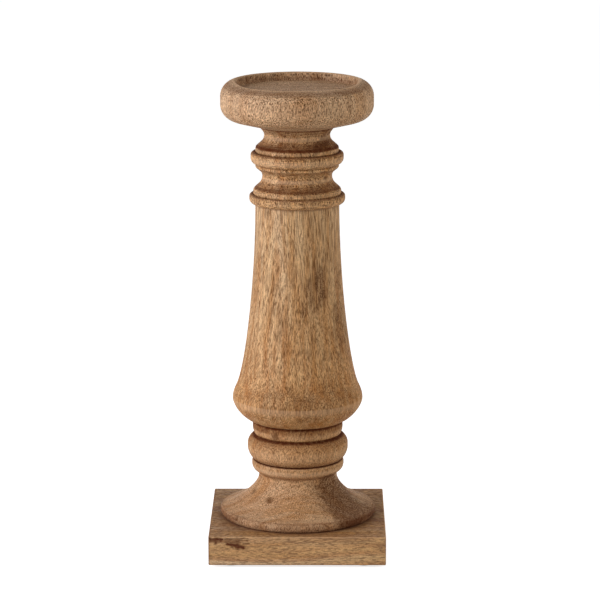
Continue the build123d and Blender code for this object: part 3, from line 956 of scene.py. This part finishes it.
    # Thin lines round the axis where stain was rubbed on in the lathe, 0.7 mm apart, broken every 9 mm or so
    around = add_node(tree, "VectorMath", TIMES, {0: place.outputs[0], 1: (1, 1, 0)})
    around = add_node(tree, "VectorMath", {"operation": "LENGTH"}, {0: around.outputs[0]})
    turned = add_node(tree, "CombineXYZ", {}, {0: around.outputs["Value"], 1: height.outputs[2]})
    turned = add_node(tree, "VectorMath", SCALED, {0: turned.outputs[0], "Scale": 1 / 0.7})
    turned = add_node(tree, "VectorMath", TIMES_ADD, {
        0: place.outputs[0], 1: (1 / 9, 1 / 9, 0), 2: turned.outputs[0],
    })
    lathe = add_node(tree, "TexNoise", {}, {"Vector": turned.outputs[0], "Scale": 1.0, "Detail": 3.0})
    rubbed = add_node(tree, "MapRange", {}, {
        0: lathe.outputs[0], 1: 0.3, 2: 0.7, 3: 1 - lathe_share, 4: 1 + lathe_share,
    })
    shade = add_node(tree, "Math", TIMES, {0: shade.outputs[0], 1: rubbed.outputs[0]})
    colour = add_node(tree, "VectorMath", SCALED, {0: colour.outputs[2], "Scale": shade.outputs[0]})
    # Open pores, drawn coarse so that they show: the low parts of a noise stretched along the grain
    bore = pore_shares[0] * wood.pore_width / MM
    cell = add_node(tree, "VectorMath", TIMES, {
        0: drift.outputs[0],
        1: (1 / bore, 1 / bore, MM / (pore_shares[1] * wood.pore_length)),
    })
    pores = add_node(tree, "TexNoise", {}, {"Vector": cell.outputs[0], "Scale": 1.0, "Detail": 1.0})
    # The heartwood shows more of them
    shut = add_node(tree, "Math", TIMES_ADD, {0: dark.outputs[0], 1: -0.1, 2: pores.outputs[0]})
    pore = add_node(tree, "MapRange", SOFT, {0: shut.outputs[0], 1: 0.52, 2: 0.36})
    deep = add_node(tree, "Math", TIMES, {0: pore.outputs[0], 1: pore_depth})
    colour = add_node(tree, "Mix", BLEND, {0: deep.outputs[0], 6: colour.outputs[0], 7: (*wood.pore, 1)})
    # Rubbed arrises with painted highlights, then stain and painted shade in the grooves, hollows and under
    # overhangs
    crest = add_node(tree, "Attribute", {"attribute_name": "crest"}, {})
    rub_and_highlight = add_node(tree, "Math", TIMES, {0: crest.outputs["Fac"], 1: 0.45})
    colour = add_node(tree, "Mix", BLEND, {0: rub_and_highlight.outputs[0], 6: colour.outputs[2], 7: (*wood.worn, 1)})
    stain_and_shade = add_node(tree, "Attribute", {"attribute_name": "stain_and_shade"}, {})
    caught = add_node(tree, "MapRange", {}, {0: torn.outputs[0], 1: 0.35, 2: 0.65, 3: 1.05, 4: 0.65})
    stain_and_shade_share = add_node(tree, "Math", {"operation": "MULTIPLY", "use_clamp": True}, {
        0: stain_and_shade.outputs["Fac"], 1: caught.outputs[0],
    })
    colour = add_node(tree, "Mix", BLEND, {0: stain_and_shade_share.outputs[0], 6: colour.outputs[2], 7: (*wood.stain_and_shade_colour, 1)})
    # Small knots and dark flecks at their own places
    for centre, size, share in marks:
        gap = add_node(tree, "VectorMath", {"operation": "DISTANCE"}, {0: place.outputs[0], 1: centre})
        rough = add_node(tree, "Math", TIMES_ADD, {
            0: torn.outputs[0], 1: 1.2 * size, 2: gap.outputs["Value"],
        })
        spot = add_node(tree, "MapRange", SOFT, {
            0: rough.outputs[0], 1: 1.6 * size, 2: 0.8 * size, 4: share,
        })
        colour = add_node(tree, "Mix", BLEND, {
            0: spot.outputs[0], 6: colour.outputs[2], 7: (*wood.heartwood_and_shade, 1),
        })
    # Pores, stain and the painted shade are duller than the oiled face
    dulling = 0.35
    rough = add_node(tree, "Math", {"operation": "MAXIMUM", "use_clamp": True}, {
        0: pore.outputs[0], 1: stain_and_shade_share.outputs[0],
    })
    dull = add_node(tree, "MapRange", {}, {
        0: rough.outputs[0], 3: wood.roughness, 4: wood.roughness + dulling,
    })
    # Relief in millimetres: fibres stand up by 0.08 and pores go down by 0.16
    relief = add_node(tree, "Math", TIMES, {0: fibre.outputs[0], 1: 0.08})
    relief = add_node(tree, "Math", TIMES_ADD, {0: pore.outputs[0], 1: -0.16, 2: relief.outputs[0]})
    bump = add_node(tree, "Bump", {}, {"Height": relief.outputs[0], "Distance": MM, "Strength": 0.8})
    shader = add_node(tree, "BsdfPrincipled", {}, {
        "Base Color": colour.outputs[2], "Roughness": dull.outputs[0], "Normal": bump.outputs[0],
        "IOR": 1.5, "Specular IOR Level": gloss,
    })
    tree.links.new(shader.outputs[0], output.inputs["Surface"])
    return material


def dress(nodes, material):
    """Give CAD nodes a material through their slots."""
    for name in nodes:
        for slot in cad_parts[name].material_slots:
            slot.material = material


def beech_dowel():
    """Beech, milled and left bare: a pale straw colour with short brown flecks along the grain."""
    material, tree, output = new_surface("beech_milled_bare")
    coords = add_node(tree, "TexCoord", {}, {})
    # Flecks 0.6 mm wide and 3 mm long
    place = add_node(tree, "VectorMath", TIMES, {
        0: coords.outputs["Object"], 1: (1 / (0.6 * MM), 1 / (0.6 * MM), 1 / (3 * MM)),
    })
    fleck = add_node(tree, "TexNoise", {}, {"Vector": place.outputs[0], "Scale": 1.0, "Detail": 3.0})
    share = add_node(tree, "MapRange", SOFT, {0: fleck.outputs[0], 1: 0.5, 2: 0.7})
    colour = add_node(tree, "Mix", BLEND, {
        0: share.outputs[0], 6: (*linear("#D3B58A"), 1), 7: (*linear("#A57F55"), 1),
    })
    bump = add_node(tree, "Bump", {}, {"Height": fleck.outputs[0], "Distance": 0.1 * MM})
    shader = add_node(tree, "BsdfPrincipled", {}, {
        "Base Color": colour.outputs[2], "Normal": bump.outputs[0], "Roughness": 0.65, "IOR": 1.5,
    })
    tree.links.new(shader.outputs[0], output.inputs["Surface"])
    return material


def zinc_steel():
    """Steel screws, zinc plated and yellow passivated: a satin pale gold metal with cloudy gloss."""
    material, tree, output = new_surface("steel_zinc_plated_yellow")
    coords = add_node(tree, "TexCoord", {}, {})
    # Clouds of plating about 1.5 mm across
    place = add_node(tree, "VectorMath", SCALED, {0: coords.outputs["Object"], "Scale": 1 / (1.5 * MM)})
    cloud = add_node(tree, "TexNoise", {}, {"Vector": place.outputs[0], "Scale": 1.0, "Detail": 4.0})
    colour = add_node(tree, "Mix", BLEND, {
        0: cloud.outputs[0], 6: (*linear("#D8C98F"), 1), 7: (*linear("#C9C2AE"), 1),
    })
    gloss = add_node(tree, "MapRange", {}, {0: cloud.outputs[0], 1: 0.3, 2: 0.7, 3: 0.28, 4: 0.45})
    shader = add_node(tree, "BsdfPrincipled", {}, {
        "Base Color": colour.outputs[2], "Metallic": 1.0, "Roughness": gloss.outputs[0],
    })
    tree.links.new(shader.outputs[0], output.inputs["Surface"])
    return material


def wool_felt():
    """Wool felt, pressed: a dull dark brown mat of fibres with a soft edge of light."""
    material, tree, output = new_surface("wool_felt_pressed")
    coords = add_node(tree, "TexCoord", {}, {})
    # Tangled fibres, 0.5 mm apart, drawn coarse so that they show
    place = add_node(tree, "VectorMath", SCALED, {0: coords.outputs["Object"], "Scale": 1 / (0.5 * MM)})
    mat = add_node(tree, "TexNoise", {}, {
        "Vector": place.outputs[0], "Scale": 1.0, "Detail": 4.0, "Distortion": 2.0,
    })
    colour = add_node(tree, "Mix", BLEND, {
        0: mat.outputs[0], 6: (*linear("#3A2E24"), 1), 7: (*linear("#6B5848"), 1),
    })
    bump = add_node(tree, "Bump", {}, {"Height": mat.outputs[0], "Distance": 0.3 * MM})
    shader = add_node(tree, "BsdfPrincipled", {}, {
        "Base Color": colour.outputs[2], "Normal": bump.outputs[0], "Roughness": 0.95,
        "Sheen Weight": 0.25, "Sheen Roughness": 0.5,
    })
    tree.links.new(shader.outputs[0], output.inputs["Surface"])
    return material


class STAND_OT_felt_pads(bpy.types.Operator):
    """Dress the felt pads under the plinth"""

    bl_idname = "stand.felt_pads"
    bl_label = "Felt pads"

    def execute(self, context):
        pads = [f"felt_pad_{end}_{side}" for end in ("front", "back") for side in ("left", "right")]
        dress(pads, wool_felt())
        return {"FINISHED"}


class STAND_OT_screws(bpy.types.Operator):
    """Dress the screws that hold the plinth to the foot"""

    bl_idname = "stand.screws"
    bl_label = "Screws"

    def execute(self, context):
        dress(["plinth_screws"], zinc_steel())
        return {"FINISHED"}


class STAND_OT_dowels(bpy.types.Operator):
    """Dress the dowels that join the turned sections"""

    bl_idname = "stand.dowels"
    bl_label = "Dowels"

    def execute(self, context):
        dress(["foot_dowel", "neck_dowel", "dish_dowel"], beech_dowel())
        return {"FINISHED"}


class STAND_OT_plinth(bpy.types.Operator):
    """Build the plinth board with its split corner and screw holes"""

    bl_idname = "stand.plinth"
    bl_label = "Plinth"

    def execute(self, context):
        material = mango_wood(
            "mango_wood_oiled_planed_board", context.scene.stand_wood, grain_turn=(0, radians(90), 0),
            pith=(120, 40), band_share=0.8, gold_share=1, along=0, reach=(-60, 60), low_hue=(0.94, 0.96, 0.9),
            high_hue=(0.88, 0.8, 0.52), pore_shares=(1.1, 0.5), speckle_share=0.24, gloss=0.4,
        )
        mesh = drill(plinth_mesh("plinth_board", context.scene.stand_shape))
        put_piece("plinth_board", mesh, "plinth", material)
        return {"FINISHED"}


def turned_section(context, name, node, outline, drilled=False, **cut):
    """Build one turned section from its outline, with its own cut of the wood, and put it on the frame."""
    shape = context.scene.stand_shape
    runs = outline(shape.outline_step / MM)
    mesh = turned_mesh(name, runs, shape)
    if drilled:
        mesh = drill(mesh)
    levels = runs[1][:, 1]
    material = mango_wood(
        "mango_wood_oiled_" + name, context.scene.stand_wood, reach=(levels.min(), levels.max()), **cut
    )
    put_piece(name, mesh, node, material)


class STAND_OT_foot(bpy.types.Operator):
    """Build the bell foot with its rings"""

    bl_idname = "stand.foot"
    bl_label = "Foot"

    def execute(self, context):
        # Knots on the flare and the upper collar: centre, size and strength
        knots = (
            ((-19.2, -27.9, 38.3), 3.8, 0.8),
            ((-30.2, -11.2, 40), 3.2, 0.7),
            ((-41.7, -33.1, 27), 3, 0.7),
            ((-15.2, -26.8, 82.9), 4.5, 0.75),
        )
        turned_section(
            context, "turned_foot", "foot", foot_outline, drilled=True,
            ring_share=0.5, layer_spread=6, streak_share=0.6, band_share=0.35,
            low_hue=(1.02, 1.03, 1.02), high_hue=(0.97, 0.83, 0.58), pore_shares=(1.1, 0.35),
            fibre_share=0.1, speckle_share=0.32, lathe_share=0.12, marks=knots,
        )
        return {"FINISHED"}


class STAND_OT_shaft(bpy.types.Operator):
    """Build the baluster shaft"""

    bl_idname = "stand.shaft"
    bl_label = "Shaft"

    def execute(self, context):
        turned_section(
            context, "turned_shaft", "shaft", shaft_outline,
            streak_share=0.8, band_share=0.5, low_hue=(0.98, 0.84, 0.6), high_hue=(1.01, 1.04, 0.98),
            blotch=(0.6, 22), pore_shares=(0.9, 1.5), fibre_share=0.34, speckle_share=0.17,
        )
        return {"FINISHED"}


class STAND_OT_neck(bpy.types.Operator):
    """Build the ringed neck"""

    bl_idname = "stand.neck"
    bl_label = "Neck"

    def execute(self, context):
        turned_section(
            context, "turned_neck", "neck", neck_outline,
            streak_share=0.75, band_share=0.6, low_hue=(0.95, 0.87, 0.7), high_hue=(0.95, 0.87, 0.7),
            pore_shares=(1.2, 0.3), pore_depth=0.92, fibre_share=0.12, speckle_share=0.42, lathe_share=0.4,
        )
        return {"FINISHED"}


class STAND_OT_dish(bpy.types.Operator):
    """Build the dish with its recess"""

    bl_idname = "stand.dish"
    bl_label = "Dish"

    def execute(self, context):
        turned_section(
            context, "turned_dish", "dish", dish_outline,
            ring_share=0.4, layer_spread=6, streak_share=0.5, band_share=0.5, gold_share=0.2,
            low_hue=(0.98, 0.95, 0.86), high_hue=(1.01, 1.04, 1.06), pore_shares=(1.0, 0.3),
            pore_depth=0.95, fibre_share=0.1, speckle_share=0.4, lathe_share=0.16,
        )
        return {"FINISHED"}


class STAND_OT_stage(bpy.types.Operator):
    """Set up the floor, the softboxes, the sky and the camera"""

    bl_idname = "stand.stage"
    bl_label = "Stage"

    def execute(self, context):
        scene = context.scene
        studio = scene.stand_studio
        scene.view_settings.view_transform = "Standard"
        reach, level = 6, -0.1 * MM
        mesh = bpy.data.meshes.new("floor")
        corners = [(x * reach, y * reach, level) for x, y in ((-1, -1), (1, -1), (1, 1), (-1, 1))]
        mesh.from_pydata(corners, [], [(0, 1, 2, 3)])
        # Matt white paper, lifted to a pale background where the camera or a mirror sees it
        paper_lift = 0.78
        material, tree, output = new_surface("matt_white_paper")
        path = add_node(tree, "LightPath", {}, {})
        seen = add_node(tree, "Math", {"operation": "MAXIMUM"}, {
            0: path.outputs["Is Camera Ray"], 1: path.outputs["Is Glossy Ray"],
        })
        lift = add_node(tree, "Math", TIMES, {0: seen.outputs[0], 1: paper_lift})
        glow = add_node(tree, "Emission", {}, {"Strength": lift.outputs[0]})
        paper = add_node(tree, "BsdfDiffuse", {}, {"Color": (0.8, 0.8, 0.8, 1)})
        both = add_node(tree, "AddShader", {}, {0: glow.outputs[0], 1: paper.outputs[0]})
        # Seen from below, the floor lets the stand's underside show
        side = add_node(tree, "NewGeometry", {}, {})
        clear = add_node(tree, "BsdfTransparent", {}, {})
        paper = add_node(tree, "MixShader", {}, {
            0: side.outputs["Backfacing"], 1: both.outputs[0], 2: clear.outputs[0],
        })
        tree.links.new(paper.outputs[0], output.inputs["Surface"])
        mesh.materials.append(material)
        floor = bpy.data.objects.new("floor", mesh)
        scene.collection.objects.link(floor)

        world = bpy.data.worlds.new("studio_sky")
        world.use_nodes = True
        tree = world.node_tree
        tree.nodes.clear()
        path = add_node(tree, "LightPath", {}, {})
        seen = add_node(tree, "Math", {"operation": "MAXIMUM"}, {
            0: path.outputs["Is Camera Ray"], 1: path.outputs["Is Glossy Ray"],
        })
        seen = add_node(tree, "Math", {"operation": "MAXIMUM"}, {
            0: seen.outputs[0], 1: path.outputs["Is Transmission Ray"],
        })
        level = add_node(tree, "MapRange", {}, {0: seen.outputs[0], 3: studio.sky, 4: 1.0})
        sky = add_node(tree, "Background", {}, {"Color": (1, 1, 1, 1), "Strength": level.outputs[0]})
        add_node(tree, "OutputWorld", {}, {"Surface": sky.outputs[0]})
        scene.world = world

        # Softboxes in metres, and the sides they stand on in degrees from the front
        target = Vector((0, 0, 0.2))
        box_width, box_height, box_rise = 0.8, 0.9, 0.3
        key_side, fill_side = -66, 70
        cool, warm = (0.98, 1, 1.1), (1.02, 1, 0.95)
        boxes = (("key_softbox", key_side, studio.key, cool), ("fill_softbox", fill_side, studio.fill, warm))
        for name, side, level, tint in boxes:
            light = bpy.data.lights.new(name, "AREA")
            light.shape = "RECTANGLE"
            light.color = tint
            light.size = box_width
            light.size_y = box_height
            light.energy = level * pi ** 2 * studio.distance ** 2
            lamp = bpy.data.objects.new(name, light)
            out = Vector((np.sin(radians(side)), -np.cos(radians(side)), box_rise)).normalized()
            lamp.location = target + studio.distance * out
            lamp.rotation_euler = out.to_track_quat("Z", "Y").to_euler()
            lamp.visible_camera = False
            scene.collection.objects.link(lamp)

        # Camera that was fitted to the object's outline, its angles in degrees
        pitch, yaw, lens_roll = 12.14, 0.55, -0.12
        lens = bpy.data.cameras.new("camera")
        lens.sensor_width = 36
        lens.lens = studio.lens
        lens.shift_x = 0.0042
        lens.shift_y = 0.0008
        camera = bpy.data.objects.new("camera", lens)
        camera.location = (0.0185, -1.927, 0.5868)
        aim = Euler((radians(90 - pitch), 0, radians(yaw))).to_matrix()
        roll = Euler((0, 0, radians(lens_roll))).to_matrix()
        camera.rotation_euler = (aim @ roll).to_euler()
        scene.collection.objects.link(camera)
        scene.camera = camera
        return {"FINISHED"}


class STAND_PT_panel(bpy.types.Panel):
    """Lists the steps that build the stand"""

    bl_label = "Candle stand"
    bl_idname = "STAND_PT_panel"
    bl_space_type = "VIEW_3D"
    bl_region_type = "UI"
    bl_category = "Candle stand"

    def draw(self, context):
        for step in STEPS:
            self.layout.operator(step.bl_idname)
        for group in (context.scene.stand_shape, context.scene.stand_wood, context.scene.stand_studio):
            box = self.layout.box()
            for name in group.__annotations__:
                box.prop(group, name)


STEPS = (
    STAND_OT_felt_pads, STAND_OT_screws, STAND_OT_dowels, STAND_OT_plinth, STAND_OT_foot,
    STAND_OT_shaft, STAND_OT_neck, STAND_OT_dish, STAND_OT_stage,
)
GROUPS = {"stand_shape": STAND_PG_shape, "stand_wood": STAND_PG_wood, "stand_studio": STAND_PG_studio}
CLASSES = (*GROUPS.values(), *STEPS, STAND_PT_panel)


def register():
    """Register the classes and hang the settings on the scene."""
    for kind in CLASSES:
        bpy.utils.register_class(kind)
    for name, kind in GROUPS.items():
        setattr(bpy.types.Scene, name, PointerProperty(type=kind))


def unregister():
    """Take the settings and the classes away again."""
    for name in GROUPS:
        delattr(bpy.types.Scene, name)
    for kind in reversed(CLASSES):
        bpy.utils.unregister_class(kind)


def main():
    """Build every piece in order."""
    register()
    bpy.ops.stand.felt_pads()
    bpy.ops.stand.screws()
    bpy.ops.stand.dowels()
    bpy.ops.stand.plinth()
    bpy.ops.stand.foot()
    bpy.ops.stand.shaft()
    bpy.ops.stand.neck()
    bpy.ops.stand.dish()
    bpy.ops.stand.stage()


if __name__ == "__main__":
    main()
